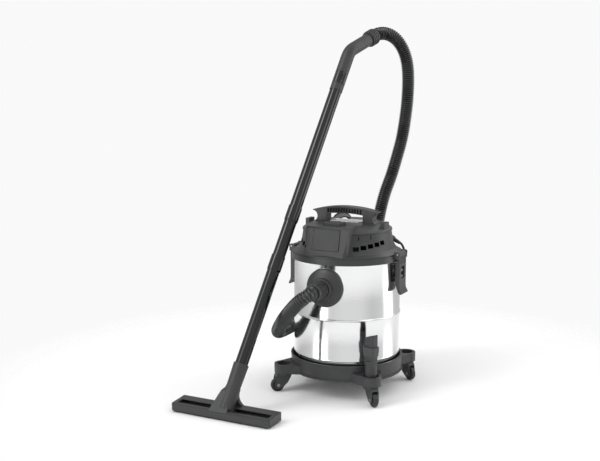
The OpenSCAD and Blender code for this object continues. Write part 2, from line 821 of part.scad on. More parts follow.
// An outline carried around the handle's bend
module handle_arc() {
    on_wand(bend_start) translate([bend_r, 0, 0]) rotate([90, 0, 180])
        rotate_extrude(angle = handle_bend) translate([bend_r, 0]) children();
}

// A straight tube with a socket at its upper end, from one place on the wand to another
module wand_tube(from, to, socket) {
    color(soft_black) on_wand(from) difference() {
        union() {
            cylinder(r = tube_r, h = to - from);
            if (socket > 0) translate([0, 0, to - from - socket]) {
                cylinder(r1 = tube_r, r2 = tube_r + 1.8, h = 6);
                translate([0, 0, 6]) cylinder(r = tube_r + 1.8, h = socket - 6);
            }
        }
        translate([0, 0, -past]) cylinder(r = tube_r - tube_wall, h = to - from + 2 * past);
        if (socket > 0) translate([0, 0, to - from - socket + 8]) cylinder(r = tube_r + 0.1, h = socket);
    }
}

module tube_lower() { wand_tube(-8, lower_end, 46); }
module tube_middle() { wand_tube(lower_end - 37.8, middle_end, 46); }
module tube_upper() { wand_tube(middle_end - 37.8, upper_end + handle_socket - 1, 0); }

module wand_handle() {
    grip_r = 18.8;
    bore = 16;
    step = 0.2;
    color(charcoal) difference() {
        union() {
            on_wand(upper_end) ring(grip_r, tube_r + 0.1, handle_socket);
            on_wand(upper_end + handle_socket) ring(grip_r, bore, bend_start - upper_end - handle_socket);
            // The bend is a hair slimmer, as moulded
            handle_arc() difference() {
                circle(grip_r - step);
                circle(bore + step);
            }
            on_handle_tail() ring(grip_r, bore, tail_len);
        }
        // Air slot under the slider
        on_wand(upper_end + 36) rotate(slider_side) translate([10, -5, 0]) cube([20, 10, 16]);
    }
}

// Sliding shutter over the air slot
module air_slider() {
    color(soft_black) on_wand(slider_from) rotate(slider_side) {
        intersection() {
            ring(20.6, 18.8 + slack, 34);
            rotate(-55) rotate_extrude(angle = 110) square([30, 60]);
        }
        for (k = [0:2]) translate([20, -5, 10 + 6 * k]) cube([1.8, 10, 2.4]);
    }
}

// --- Floor nozzle --------------------------------------------------------------------------

module at_nozzle() {
    translate([nozzle_mid[0], nozzle_mid[1], 0]) children();
}

// The long body, with small chamfers at its four corners
module nozzle_bar() {
    half_w = nozzle_w / 2;
    half_d = nozzle_d / 2;
    corner = 5;
    intersection() {
        translate([-half_w, 0, nozzle_base]) rotate([90, 0, 90]) linear_extrude(nozzle_w) polygon([
            [-half_d, 0], [half_d, 0], [half_d, nozzle_back_h - 4], [half_d - 5, nozzle_back_h],
            [-half_d + 8, nozzle_front_h + 2], [-half_d, nozzle_front_h - 2]
        ]);
        linear_extrude(60) polygon([
            [-half_w, -half_d + corner], [-half_w + corner, -half_d], [half_w - corner, -half_d],
            [half_w, -half_d + corner], [half_w, half_d - corner], [half_w - corner, half_d],
            [-half_w + corner, half_d], [-half_w, half_d - corner]
        ]);
    }
}

// Fin that leans back from the front edge, and a back wall swept up to the neck on both sides
module nozzle_shoulders() {
    intersection() {
        rotate([90, 0, 90]) linear_extrude(100, center = true)
            polygon([[-33, 13], [-33, 19], [-30, 24], [-13, 60], [-6, 74], [20, 80], [32, 60], [32, 13]]);
        rotate([90, 0, 0]) linear_extrude(100, center = true)
            polygon([[-34, 10], [22, 10], [21, 30], [12, 66], [8, 84], [-4, 84], [-11, 70], [-34, 23]]);
    }
    translate([0, 26.5, 0]) slab_y(11) difference() {
        polygon([[-58, 20], [52, 20], [52, 52], [24, 52], [28, 70], [-8, 76], [-24, 58], [-58, 58]]);
        translate([-58, 58]) circle(34);
        translate([52, 52]) circle(28);
    }
}

// Room below for the air, with a deeper groove for each strip of bristles
module nozzle_cavity() {
    wall = 3;
    half_d = nozzle_d / 2;
    groove_in = half_d - 10.5;
    translate([-nozzle_w / 2 + wall, 0, nozzle_base]) rotate([90, 0, 90]) linear_extrude(nozzle_w - 2 * wall)
        polygon([
            [-half_d + wall, -past], [half_d - wall, -past], [half_d - wall, nozzle_back_h - 5],
            [groove_in, nozzle_back_h - 5], [groove_in, nozzle_roof], [-groove_in, nozzle_roof],
            [-groove_in, nozzle_front_h - 3], [-half_d + wall, nozzle_front_h - 3]
        ]);
}

module nozzle_body() {
    well_in = 28;
    well_out = nozzle_w / 2 - 12;
    well_half = 20;
    color(charcoal) difference() {
        union() {
            at_nozzle() nozzle_bar();
            at_nozzle() nozzle_shoulders();
            on_wand(-60) cylinder(r = tube_r + 3, h = 60);
            on_wand(0) cylinder(r1 = tube_r + 1.8, r2 = tube_r + 3.4, h = neck_top);
        }
        at_nozzle() nozzle_cavity();
        // Open wells on the top, left and right of the fin
        at_nozzle() for (s = [0, 1]) mirror([s, 0, 0])
            translate([well_in, -well_half, nozzle_base + nozzle_roof + 3])
                cube([well_out - well_in, 2 * well_half, 10]);
        // Air channel up into the tube
        at_nozzle() translate([-6, -20, nozzle_base]) cube([24, 30, 18]);
        on_wand(-68) cylinder(r = tube_r - 3, h = 78);
        on_wand(-10) cylinder(r = tube_r + 0.1, h = 90);
    }
}

// Two strips of bristles, held in the roof of the body
module nozzle_bristles() {
    strip_l = nozzle_w - 14;
    color(soft_black) for (s = [-1, 1])
        translate([nozzle_mid[0] - strip_l / 2, nozzle_mid[1] + s * (nozzle_d / 2 - 6.2) - 3, 0])
            cube([strip_l, 6, 20.4 + s * 1.8]);
}

// --- Accessory tool ------------------------------------------------------------------------

module at_tool() {
    rotate(tool_angle) translate([boss_pitch - tool_inset, 0, tool_z]) rotate(66 - tool_angle - 90) children();
}

module crevice_tool() {
    round_h = 58;
    wall = 2.3;
    color(charcoal) at_tool() difference() {
        union() {
            cylinder(r = tool_r, h = round_h);
            intersection() {
                translate([0, 0, round_h - 14]) linear_extrude(90) round_rect(tool_flat, 6);
                translate([0, 30, 0]) rotate([90, 0, 0]) linear_extrude(60)
                    polygon([[-20, 0], [20, 0], [20, 133], [-20, 120]]);
            }
        }
        translate([0, 0, -past]) cylinder(r = tool_r - wall, h = round_h - 6);
        translate([0, 0, round_h - 20]) linear_extrude(120) round_rect(tool_flat - [2 * wall, 2 * wall], 4);
    }
}

// Brush collar that slides along the tool
module tool_slider() {
    hole = tool_flat + [0.6, 0.6];
    color(dark_steel) at_tool() translate([0, 0, 82]) difference() {
        linear_extrude(15) round_rect(hole + [6.4, 6.4], 8);
        translate([0, 0, -past]) linear_extrude(40) round_rect(hole, 6);
    }
    color(soft_black) at_tool() translate([0, 0, 72]) difference() {
        linear_extrude(10) round_rect(hole + [4.4, 4.4], 8);
        translate([0, 0, -past]) linear_extrude(40) round_rect(hole, 6);
    }
}

// --- Nodes ---------------------------------------------------------------------------------

base_tray();
caster_fork(1);  // caster_fork_1
caster_fork(2);  // caster_fork_2
caster_fork(3);  // caster_fork_3
caster_fork(4);  // caster_fork_4
caster_axle(1);  // caster_axle_1
caster_axle(2);  // caster_axle_2
caster_axle(3);  // caster_axle_3
caster_axle(4);  // caster_axle_4
caster_wheel(1);  // caster_wheel_1
caster_wheel(2);  // caster_wheel_2
caster_wheel(3);  // caster_wheel_3
caster_wheel(4);  // caster_wheel_4
drum();
drum_screws();
inlet_flange();
inlet_nut();
inlet_seal();
inlet_deflector();
head_base();
head_seal();
head_cover();
front_badge();
carry_handle();
handle_screws();
switch_body();
switch_rocker();
on_left() latch();  // latch_left
latch();  // latch_right
on_left() latch_pin();  // latch_pin_left
latch_pin();  // latch_pin_right
on_left() latch_spring();  // latch_spring_left
latch_spring();  // latch_spring_right
cable_gland();
power_cord();
cord_coil();
mains_plug();
motor_stator();
motor_rotor();
impeller();
motor_bearings();
carbon_brushes();
motor_mount();
fan_housing();
float_cage();
float_cup();
filter_sleeve();
filter_clamp();
hose();
hose_cuff_lower();
hose_cuff_upper();
wand_handle();
air_slider();
tube_upper();
tube_middle();
tube_lower();
nozzle_body();
nozzle_bristles();
crevice_tool();
tool_slider();
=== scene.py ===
"""Shop vacuum: the looks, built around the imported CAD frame. Metres, +Z up, the inlet faces -Y."""

import json
import math

import bmesh
import bpy
import numpy as np
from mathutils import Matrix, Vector


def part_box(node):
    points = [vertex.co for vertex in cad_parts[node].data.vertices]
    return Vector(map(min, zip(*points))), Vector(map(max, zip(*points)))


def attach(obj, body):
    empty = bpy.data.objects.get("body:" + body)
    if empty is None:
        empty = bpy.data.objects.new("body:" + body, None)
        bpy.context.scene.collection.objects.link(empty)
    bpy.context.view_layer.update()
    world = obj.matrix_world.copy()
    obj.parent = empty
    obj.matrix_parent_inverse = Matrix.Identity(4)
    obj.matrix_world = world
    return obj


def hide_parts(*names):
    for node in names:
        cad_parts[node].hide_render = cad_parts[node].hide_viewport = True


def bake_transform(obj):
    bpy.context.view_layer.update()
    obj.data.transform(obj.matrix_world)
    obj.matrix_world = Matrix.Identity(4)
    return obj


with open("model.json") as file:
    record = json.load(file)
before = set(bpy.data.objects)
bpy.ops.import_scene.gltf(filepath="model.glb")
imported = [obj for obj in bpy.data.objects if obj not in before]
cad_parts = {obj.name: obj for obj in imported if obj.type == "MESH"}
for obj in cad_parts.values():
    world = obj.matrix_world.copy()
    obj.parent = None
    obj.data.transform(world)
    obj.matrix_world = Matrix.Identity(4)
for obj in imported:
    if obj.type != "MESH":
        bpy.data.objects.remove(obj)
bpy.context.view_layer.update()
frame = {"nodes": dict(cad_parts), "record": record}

NODES = frame["nodes"]

# Drum, from its CAD node
drum_lo, drum_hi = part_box("drum")
switch_lo, switch_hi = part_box("switch_body")
TOP_Z = switch_lo.z
DRUM_R = 0.1525
DRUM_SHEET = 0.001
BEAD_Z = 0.227
BOTTOM_Z = 0.112

# Cords
CORD_R = 0.0034
CORD_PITCH = 0.0071
HOSE_R = 0.0196
HOSE_RIB = 0.0032
HOSE_STEP = 0.00077
HOSE_SIDES = 30
HOSE_PITCH = 0.0062
COIL_CENTRE = Vector((0, 0.228, 0))
COIL_INNER = 0.0315
COIL_LAYERS = 4
COIL_LEVELS = 6
COIL_TOP = 0.046


# --- Camera --------------------------------------------------------------------------------


def make_camera():
    data = bpy.data.cameras.new("camera")
    data.sensor_width = 36
    data.lens = 54.8
    camera = bpy.data.objects.new("camera", data)
    bpy.context.scene.collection.objects.link(camera)
    camera.location = (1.0575, -2.3752, 0.845)
    looks_along = Vector((-0.449, 0.8812, -0.1478))
    camera.rotation_mode = "QUATERNION"
    camera.rotation_quaternion = looks_along.to_track_quat("-Z", "Y")
    bpy.context.scene.camera = camera


# --- Mesh helpers --------------------------------------------------------------------------


def new_piece(name, vertices, faces, smooth_angle=35):
    """A mesh object whose edges sharper than the angle stay crisp."""
    mesh = bpy.data.meshes.new(name)
    mesh.from_pydata([tuple(v) for v in vertices], [], faces)
    mesh.validate()
    work = bmesh.new()
    work.from_mesh(mesh)
    bmesh.ops.remove_doubles(work, verts=work.verts, dist=1e-6)
    bmesh.ops.recalc_face_normals(work, faces=work.faces)
    work.to_mesh(mesh)
    work.free()
    mesh.shade_smooth()
    mesh.set_sharp_from_angle(angle=math.radians(smooth_angle))
    piece = bpy.data.objects.new(name, mesh)
    bpy.context.scene.collection.objects.link(piece)
    return piece


def evenly(points, step):
    """Points along a line, about a step apart."""
    points = np.array([tuple(p) for p in points])
    along = np.concatenate([[0], np.cumsum(np.linalg.norm(np.diff(points, axis=0), axis=1))])
    count = max(2, round(along[-1] / step) + 1)
    at = np.linspace(0, along[-1], count)
    return np.stack([np.interp(at, along, points[:, k]) for k in range(3)], axis=1)


def smooth_route(points, step):
    """A smooth line through given points, as points about a step apart."""
    points = [Vector(p) for p in points]
    padded = [2 * points[0] - points[1], *points, 2 * points[-1] - points[-2]]
    line = []
    for a, b, c, d in zip(padded, padded[1:], padded[2:], padded[3:]):
        for t in np.linspace(0, 1, 24, endpoint=False):
            bend = (2 * a - 5 * b + 4 * c - d) * t**2 + (3 * b - a - 3 * c + d) * t**3
            line.append(0.5 * (2 * b + (c - a) * t + bend))
    line.append(points[-1])
    return evenly(line, step)


def swept_tube(name, path, radii, sides):
    """A closed round tube along a path, with its own radius at each point."""
    path = np.array(path)
    radii = np.broadcast_to(radii, len(path))
    tangents = np.gradient(path, axis=0)
    tangents /= np.linalg.norm(tangents, axis=1)[:, None]
    side = np.cross(tangents[0], (0.3, 0.1, 0.95))
    turns = np.linspace(0, 2 * math.pi, sides, endpoint=False)
    vertices, faces = [], []
    for point, tangent, radius in zip(path, tangents, radii):
        side = side - tangent * (side @ tangent)
        side /= np.linalg.norm(side)
        up = np.cross(tangent, side)
        vertices += [point + radius * (math.cos(a) * side + math.sin(a) * up) for a in turns]
    for i in range(len(path) - 1):
        for k in range(sides):
            a = i * sides + k
            b = i * sides + (k + 1) % sides
            faces.append((a, b, b + sides, a + sides))
    last = (len(path) - 1) * sides
    faces.append(tuple(reversed(range(sides))))
    faces.append(tuple(range(last, last + sides)))
    return new_piece(name, vertices, faces, smooth_angle=60)


def lathe(name, profile, segments, smooth_angle=35):
    """A closed outline of radius and height, turned about the drum's axis."""
    vertices, faces = [], []
    turns = np.linspace(0, 2 * math.pi, segments, endpoint=False)
    for a in turns:
        vertices += [(r * math.cos(a), r * math.sin(a), z) for r, z in profile]
    n = len(profile)
    for i in range(segments):
        for k in range(n):
            a = i * n + k
            b = i * n + (k + 1) % n
            c = ((i + 1) % segments) * n
            faces.append((a, c + k, c + (k + 1) % n, b))
    return new_piece(name, vertices, faces, smooth_angle)


def arc(centre_r, centre_z, radius, start, end, steps=8):
    """Outline points round an arc, from one angle to another in degrees."""
    turns = [math.radians(start + (end - start) * k / steps) for k in range(steps + 1)]
    return [(centre_r + radius * math.cos(a), centre_z + radius * math.sin(a)) for a in turns]


def round_outline(width, depth, corner, steps=6):
    """A rectangle with round corners, as points on its own plane."""
    points = []
    for x, y, start in ((1, 1, 0), (-1, 1, 90), (-1, -1, 180), (1, -1, 270)):
        middle_x = x * (width / 2 - corner)
        middle_y = y * (depth / 2 - corner)
        points += arc(middle_x, middle_y, corner, start, start + 90, steps)
    return points


def slab(name, outline, thickness, origin, across, up, bevel):
    """An outline given a thickness on a plane set by two directions, with rounded edges."""
    across = Vector(across).normalized()
    up = Vector(up).normalized()
    out = across.cross(up)
    n = len(outline)
    vertices = [
        Vector(origin) + x * across + y * up + h * out for h in (0, thickness) for x, y in outline
    ]
    faces = [tuple(reversed(range(n))), tuple(range(n, 2 * n))]
    faces += [(k, (k + 1) % n, n + (k + 1) % n, n + k) for k in range(n)]
    piece = new_piece(name, vertices, faces)
    rounding = piece.modifiers.new("rounding", "BEVEL")
    rounding.width = bevel
    rounding.segments = 3
    return piece


def bristles(name, spots, length, radius, lean):
    """Tufts of fibre, each a thin three-sided spike hanging down from its spot."""
    rng = np.random.default_rng(4)
    vertices, faces = [], []
    for spot in spots:
        tip = Vector(spot) + Vector((*rng.normal(0, lean, 2), -length * rng.uniform(0.93, 1)))
        base = len(vertices)
        for end, size in ((Vector(spot), radius), (tip, radius * 0.6)):
            for k in range(3):
                a = 2 * math.pi * k / 3
                vertices.append(end + Vector((size * math.cos(a), size * math.sin(a), 0)))
        for k in range(3):
            m = (k + 1) % 3
            faces.append((base + k, base + m, base + 3 + m, base + 3 + k))
        faces.append((base + 3, base + 4, base + 5))
        faces.append((base + 2, base + 1, base))
    return new_piece(name, vertices, faces)


# --- Cords ---------------------------------------------------------------------------------

LEAD_ROUTE = [
    (0.1322, 0.0763, 0.4196), (0.1359, 0.0784, 0.417), (0.140, 0.082, 0.408),
    (0.142, 0.085, 0.398), (0.141, 0.088, 0.385), (0.136, 0.091, 0.367), (0.129, 0.098, 0.344),
    (0.120, 0.107, 0.317), (0.109, 0.118, 0.285), (0.097, 0.131, 0.250), (0.084, 0.145, 0.212),
    (0.074, 0.158, 0.170), (0.067, 0.170, 0.125), (0.062, 0.178, 0.092), (0.058, 0.187, 0.068),
    (0.051, 0.200, 0.053), (0.043, 0.215, 0.047), (0.034, 0.231, 0.046),
]
PLUG_ROUTE = [
    (-0.035, 0.271, 0.0178), (-0.048, 0.266, 0.018), (-0.061, 0.263, 0.018), (-0.0745, 0.262, 0.018),
]
HOSE_ROUTE = [
    (0, -0.228, 0.317), (-0.002, -0.242, 0.315), (-0.014, -0.252, 0.306), (-0.036, -0.248, 0.288),
    (-0.064, -0.232, 0.262), (-0.096, -0.206, 0.232), (-0.128, -0.172, 0.200),
    (-0.156, -0.132, 0.174), (-0.178, -0.084, 0.157), (-0.191, -0.030, 0.148),
    (-0.191, 0.026, 0.148), (-0.180, 0.080, 0.155), (-0.156, 0.130, 0.170),
    (-0.122, 0.168, 0.194), (-0.086, 0.193, 0.226), (-0.054, 0.208, 0.266),
    (-0.030, 0.216, 0.316), (-0.012, 0.221, 0.370), (0, 0.223, 0.430), (0.011, 0.224, 0.490),
    (0.024, 0.228, 0.545), (0.042, 0.233, 0.600), (0.056, 0.240, 0.655), (0.067, 0.250, 0.710),
    (0.073, 0.259, 0.765), (0.077, 0.266, 0.825), (0.077, 0.271, 0.885), (0.073, 0.273, 0.930),
    (0.064, 0.271, 0.966), (0.051, 0.263, 0.995), (0.035, 0.249, 1.015), (0.018, 0.231, 1.024),
    (0.005, 0.212, 1.023), (-0.0024, 0.1991, 1.0182), (-0.0043, 0.192, 1.0152),
]


def coil_points(first_turn, last_turn):
    """The wound part of the lead, between two angles: the inner layer comes first, from its top.

    A turn steps to the next level, or to the next layer, over a crossing of some degrees. Each layer
    starts two crossings earlier than the one inside it, so that no two steps meet."""
    crossing = 60
    knots = [(first_turn - crossing, COIL_INNER, COIL_TOP)]
    for layer in range(COIL_LAYERS):
        begin = first_turn + layer * (360 * COIL_LEVELS - 2 * crossing)
        radius = COIL_INNER + layer * CORD_PITCH
        levels = range(COIL_LEVELS) if layer % 2 else reversed(range(COIL_LEVELS))
        for turn, level in enumerate(levels):
            height = CORD_R + level * CORD_PITCH
            start = begin + 360 * turn + (crossing if turn == 0 and layer else 0)
            end = begin + 360 * (turn + 1) - crossing * (2 if turn == COIL_LEVELS - 1 else 1)
            knots += [(start, radius, height), (end, radius, height)]
    angles, radii, heights = np.array(knots).T
    at = np.arange(angles[0], last_turn, 10)
    places = zip(np.radians(at), np.interp(at, angles, radii), np.interp(at, angles, heights))
    return [COIL_CENTRE + Vector((r * math.cos(a), r * math.sin(a), z)) for a, r, z in places]


def make_power_cord():
    whole_layers = (COIL_LAYERS - 1) * (360 * COIL_LEVELS - 120)
    wound = coil_points(first_turn=97, last_turn=whole_layers + 2 * 360 + 110)
    path = smooth_route([*LEAD_ROUTE, *wound, *PLUG_ROUTE], 0.004)
    cord = swept_tube("power_lead", path, CORD_R, 14)
    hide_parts("power_cord", "cord_coil")
    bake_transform(cord)
    return cord


def make_hose():
    path = smooth_route(HOSE_ROUTE, HOSE_STEP)
    along = np.arange(len(path)) * HOSE_STEP
    groove = np.cos(math.pi * along / HOSE_PITCH) ** 2
    hose = swept_tube("ribbed_hose", path, HOSE_R - HOSE_RIB * groove, HOSE_SIDES)
    # crest height along the hose, which the hose material turns into painted groove shade and painted crest
    # highlight
    crest = hose.data.attributes.new("crest", "FLOAT", "POINT")
    crest.data.foreach_set("value", np.repeat(1 - groove, HOSE_SIDES))
    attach(hose, "base")
    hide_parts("hose")
    return hose


# --- Material helpers ----------------------------------------------------------------------


class Recipe:
    """Builds one node material step by step."""

    def __init__(self, name):
        self.material = bpy.data.materials.new(name)
        self.material.use_nodes = True
        self.tree = self.material.node_tree
        self.shader = self.tree.nodes["Principled BSDF"]
        self.place = self.tree.nodes.new("ShaderNodeTexCoord").outputs["Object"]

    def node(self, kind, **sockets):
        made = self.tree.nodes.new(kind)
        for name, value in sockets.items():
            made.inputs[name.replace("_", " ")].default_value = value
        return made

    def link(self, source, target):
        self.tree.links.new(source, target)

    def noise(self, scale, detail=3, stretch=None):
        """Noise of about 1/scale metres, stretched along the axes if asked."""
        made = self.node("ShaderNodeTexNoise", Scale=scale, Detail=detail)
        place = self.place
        if stretch:
            mapping = self.node("ShaderNodeMapping")
            mapping.inputs["Scale"].default_value = stretch
            self.link(place, mapping.inputs["Vector"])
            place = mapping.outputs["Vector"]
        self.link(place, made.inputs["Vector"])
        return made.outputs["Fac"]

    def ramp(self, source, low, high, to_low, to_high):
        made = self.node("ShaderNodeMapRange")
        for name, value in (("From Min", low), ("From Max", high), ("To Min", to_low), ("To Max", to_high)):
            made.inputs[name].default_value = value
        self.link(source, made.inputs["Value"])
        return made.outputs["Result"]

    def colours(self, source, stops):
        """Colour by a value: stops are (value, (r, g, b))."""
        made = self.tree.nodes.new("ShaderNodeValToRGB")
        steps = made.color_ramp.elements
        while len(steps) < len(stops):
            steps.new(0.5)
        for step, (value, colour) in zip(steps, stops):
            step.position = value
            step.color = (*colour, 1)
        self.link(source, made.inputs["Fac"])
        self.link(made.outputs["Color"], self.shader.inputs["Base Color"])

    def roughness(self, source, smooth, rough):
        self.link(self.ramp(source, 0.3, 0.7, smooth, rough), self.shader.inputs["Roughness"])

    def bumps(self, source, height, edge=0.0):
        """Surface relief, on edges rounded by a small radius."""
        made = self.node("ShaderNodeBump", Strength=1, Distance=height)
        self.link(source, made.inputs["Height"])
        if edge:
            rounding = self.node("ShaderNodeBevel", Radius=edge)
            self.link(rounding.outputs["Normal"], made.inputs["Normal"])
        self.link(made.outputs["Normal"], self.shader.inputs["Normal"])


def tint(colour, factor):
    return tuple(c * factor for c in colour)


def moulded(name, colour, smooth, rough, grain=900, height=0.00006, edge=0.0009, specular=0.5):
    """Moulded plastic: fine grain, uneven gloss and slightly paler worn patches."""
    recipe = Recipe(name)
    broad = recipe.noise(14, 4)
    fine = recipe.noise(grain, 2)
    recipe.colours(broad, [(0.3, tint(colour, 0.86)), (0.55, colour), (0.75, tint(colour, 1.18))])
    recipe.roughness(broad, smooth, rough)
    recipe.bumps(fine, height, edge)
    recipe.shader.inputs["Specular IOR Level"].default_value = specular
    return recipe.material


def ribbed_with_painted_light(name, painted_shade_groove_colour, painted_highlight_crest_colour, smooth, rough):
    """Moulded ribs: painted shade darkens the grooves and a painted highlight pales the crests, following
    the crest attribute; the gloss varies in small patches.
    """
    recipe = Recipe(name)
    height = recipe.tree.nodes.new("ShaderNodeAttribute")
    height.attribute_name = "crest"
    # painted shade in the grooves, painted highlight on the crests
    recipe.colours(height.outputs["Fac"], [(0.1, painted_shade_groove_colour), (0.9, painted_highlight_crest_colour)])
    recipe.roughness(recipe.noise(60, 3), smooth, rough)
    recipe.bumps(recipe.noise(1200, 2), 0.00004)
    return recipe.material


def polished(name, colour, smooth, rough):
    """Rolled and polished sheet: mirror bright, with faint drawn lines round the drum."""
    recipe = Recipe(name)
    drawn = recipe.noise(40, 6, stretch=(0.6, 0.6, 30))
    broad = recipe.noise(5, 2)
    recipe.colours(broad, [(0.3, tint(colour, 0.97)), (0.7, colour)])
    recipe.roughness(drawn, smooth, rough)
    recipe.bumps(broad, 0.0006)
    recipe.shader.inputs["Metallic"].default_value = 1
    return recipe.material


def metal(name, colour, smooth, rough, grain=300, metallic=1.0):
    """Plated, cast or oxidised metal with fine scratches."""
    recipe = Recipe(name)
    scratch = recipe.noise(grain, 5, stretch=(1, 1, 6))
    broad = recipe.noise(30, 3)
    recipe.colours(broad, [(0.3, tint(colour, 0.85)), (0.7, colour)])
    recipe.roughness(scratch, smooth, rough)
    recipe.bumps(scratch, 0.00003, 0.0004)
    recipe.shader.inputs["Metallic"].default_value = metallic
    return recipe.material


def laminated(name, colour):
    """A stack of thin iron sheets."""
    recipe = Recipe(name)
    sheets = recipe.tree.nodes.new("ShaderNodeTexWave")
    sheets.bands_direction = "Z"
    sheets.inputs["Scale"].default_value = 300
    recipe.link(recipe.place, sheets.inputs["Vector"])
    broad = recipe.noise(40, 3)
    recipe.colours(broad, [(0.3, tint(colour, 0.7)), (0.7, colour)])
    recipe.roughness(broad, 0.35, 0.6)
    recipe.bumps(sheets.outputs["Fac"], 0.0001)
    recipe.shader.inputs["Metallic"].default_value = 0.8
    return recipe.material


def open_foam(name, colour):
    recipe = Recipe(name)
    cells = recipe.tree.nodes.new("ShaderNodeTexVoronoi")
    cells.inputs["Scale"].default_value = 450
    recipe.link(recipe.place, cells.inputs["Vector"])
    recipe.colours(cells.outputs["Distance"], [(0.1, tint(colour, 1.6)), (0.6, tint(colour, 0.4))])
    recipe.bumps(cells.outputs["Distance"], 0.0012)
    recipe.shader.inputs["Roughness"].default_value = 0.95
    return recipe.material


def make_materials():
    """One material for each of the record's slots."""
    return {
        "charcoal_plastic": moulded("charcoal_plastic", (0.034, 0.0344, 0.036), 0.36, 0.5, specular=0.42),
        "badge_plastic": moulded("badge_plastic", (0.012, 0.0122, 0.013), 0.36, 0.46, grain=1600),
        "slider_plastic": moulded("slider_plastic", (0.04, 0.041, 0.044), 0.34, 0.46),
        "gloss_black_plastic": moulded("gloss_black_plastic", (0.006, 0.006, 0.0065), 0.16, 0.26),
        "wheel_plastic": moulded("wheel_plastic", (0.011, 0.011, 0.012), 0.3, 0.45),
        "polished_steel": polished("polished_steel", (0.82, 0.822, 0.826), 0.09, 0.17),
        "bright_steel": metal("bright_steel", (0.30, 0.30, 0.31), 0.3, 0.48),
        "black_steel": metal("black_steel", (0.025, 0.025, 0.026), 0.3, 0.5, metallic=0.6),
        "motor_iron": laminated("motor_iron", (0.22, 0.22, 0.23)),
        "cast_aluminium": metal("cast_aluminium", (0.7, 0.7, 0.71), 0.3, 0.5, grain=120),
        "carbon": moulded("carbon", (0.015, 0.015, 0.015), 0.6, 0.8, grain=1500),
        "seal_rubber": moulded("seal_rubber", (0.008, 0.008, 0.008), 0.6, 0.78, grain=1200),
        "cord_rubber": moulded("cord_rubber", (0.009, 0.009, 0.01), 0.36, 0.5, grain=1500, edge=0.0),
        # the hose: painted shade in its grooves, painted highlight on its crests
        "hose_plastic": ribbed_with_painted_light("hose_plastic", (0.001, 0.001, 0.001), (0.03, 0.0305, 0.033), 0.16, 0.28),
        "tube_plastic": moulded("tube_plastic", (0.006, 0.0062, 0.0066), 0.08, 0.15, height=0.00001),
        "bristle": moulded("bristle", (0.007, 0.007, 0.0075), 0.45, 0.6, edge=0.0),
        "float_white": moulded("float_white", (0.75, 0.74, 0.7), 0.4, 0.55),
        "foam": open_foam("foam", (0.03, 0.03, 0.032)),
    }


def paint(piece, material):
    piece.data.materials.clear()
    piece.data.materials.append(material)


# --- Pieces --------------------------------------------------------------------------------


def make_drum():
    """Rolled steel drum: hem, bead, rolled rim and a pressed bottom, as one sheet."""
    inside = DRUM_R - DRUM_SHEET
    rim_z = drum_hi.z - 0.0022
    outline = [
        (inside, drum_lo.z), (DRUM_R, drum_lo.z),
        (DRUM_R, BOTTOM_Z - 0.003), *arc(DRUM_R - 0.0004, BOTTOM_Z, 0.0017, -50, 50, 6),
        (DRUM_R, BOTTOM_Z + 0.003),
        (DRUM_R, BEAD_Z - 0.0045), *arc(DRUM_R - 0.0012, BEAD_Z, 0.0034, -62, 62, 10),
        (DRUM_R, BEAD_Z + 0.0045),
        (DRUM_R, rim_z - 0.0042), *arc(DRUM_R + 0.0015, rim_z, 0.0022, -90, 180, 14),
        (inside, rim_z - 0.002), (inside, BOTTOM_Z + 0.006),
        *arc(inside - 0.005, BOTTOM_Z + 0.006, 0.005, 0, -90, 6)[1:],
        (0, BOTTOM_Z + 0.001), (0, BOTTOM_Z), (inside - 0.004, BOTTOM_Z),
        (inside - 0.001, BOTTOM_Z - 0.001), (inside - 0.001, BOTTOM_Z - 0.004), (inside, BOTTOM_Z - 0.005),
    ]
    drum = lathe("steel_drum", outline, 256, smooth_angle=40)
    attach(drum, "base")
    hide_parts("drum")
    return drum


def make_keepers():
    """Pressed keepers for the latches, one on each side of the drum."""
    made = []
    for side, name in ((1, "keeper_right"), (-1, "keeper_left")):
        outline = round_outline(0.016, 0.005, 0.002)
        origin = (side * (DRUM_R - 0.0003), 0, 0.3325)
        keeper = slab(name, outline, 0.0033, origin, (0, side, 0), (0, 0, 1), 0.0008)
        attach(keeper, "base")
        made.append(keeper)
    return made


def make_nozzle_bristles():
    """Two rows of fibres under the floor nozzle."""
    lo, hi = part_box("nozzle_bristles")
    spots = []
    for row_y in (lo.y + 0.0012, lo.y + 0.003, lo.y + 0.0048, hi.y - 0.0048, hi.y - 0.003, hi.y - 0.0012):
        for x in np.arange(lo.x + 0.001, hi.x, 0.0019):
            spots.append((x, row_y, 0.019))
    fibres = bristles("nozzle_fibres", spots, 0.0188, 0.0008, 0.0006)
    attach(fibres, "base")
    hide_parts("nozzle_bristles")
    return fibres


def make_top_plate():
    """Blank pale plate on the head behind the handle, with one small red patch."""
    outline = round_outline(0.094, 0.058, 0.010)
    plate = slab("top_plate", outline, 0.0012, (-0.006, 0.012, TOP_Z - 0.0002), (1, 0, 0), (0, 1, 0), 0.0004)
    patch = slab(
        "top_patch", round_outline(0.013, 0.013, 0.0064), 0.0005,
        (-0.044, 0.004, TOP_Z + 0.0009), (1, 0, 0), (0, 1, 0), 0.0001,
    )
    for piece in (plate, patch):
        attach(piece, "head")
    paint(plate, moulded("plate_print", (0.72, 0.72, 0.71), 0.3, 0.42, grain=1800, height=0.00001))
    paint(patch, moulded("patch_print", (0.5, 0.03, 0.03), 0.3, 0.42, grain=1800, height=0.00001))


# --- Studio --------------------------------------------------------------------------------


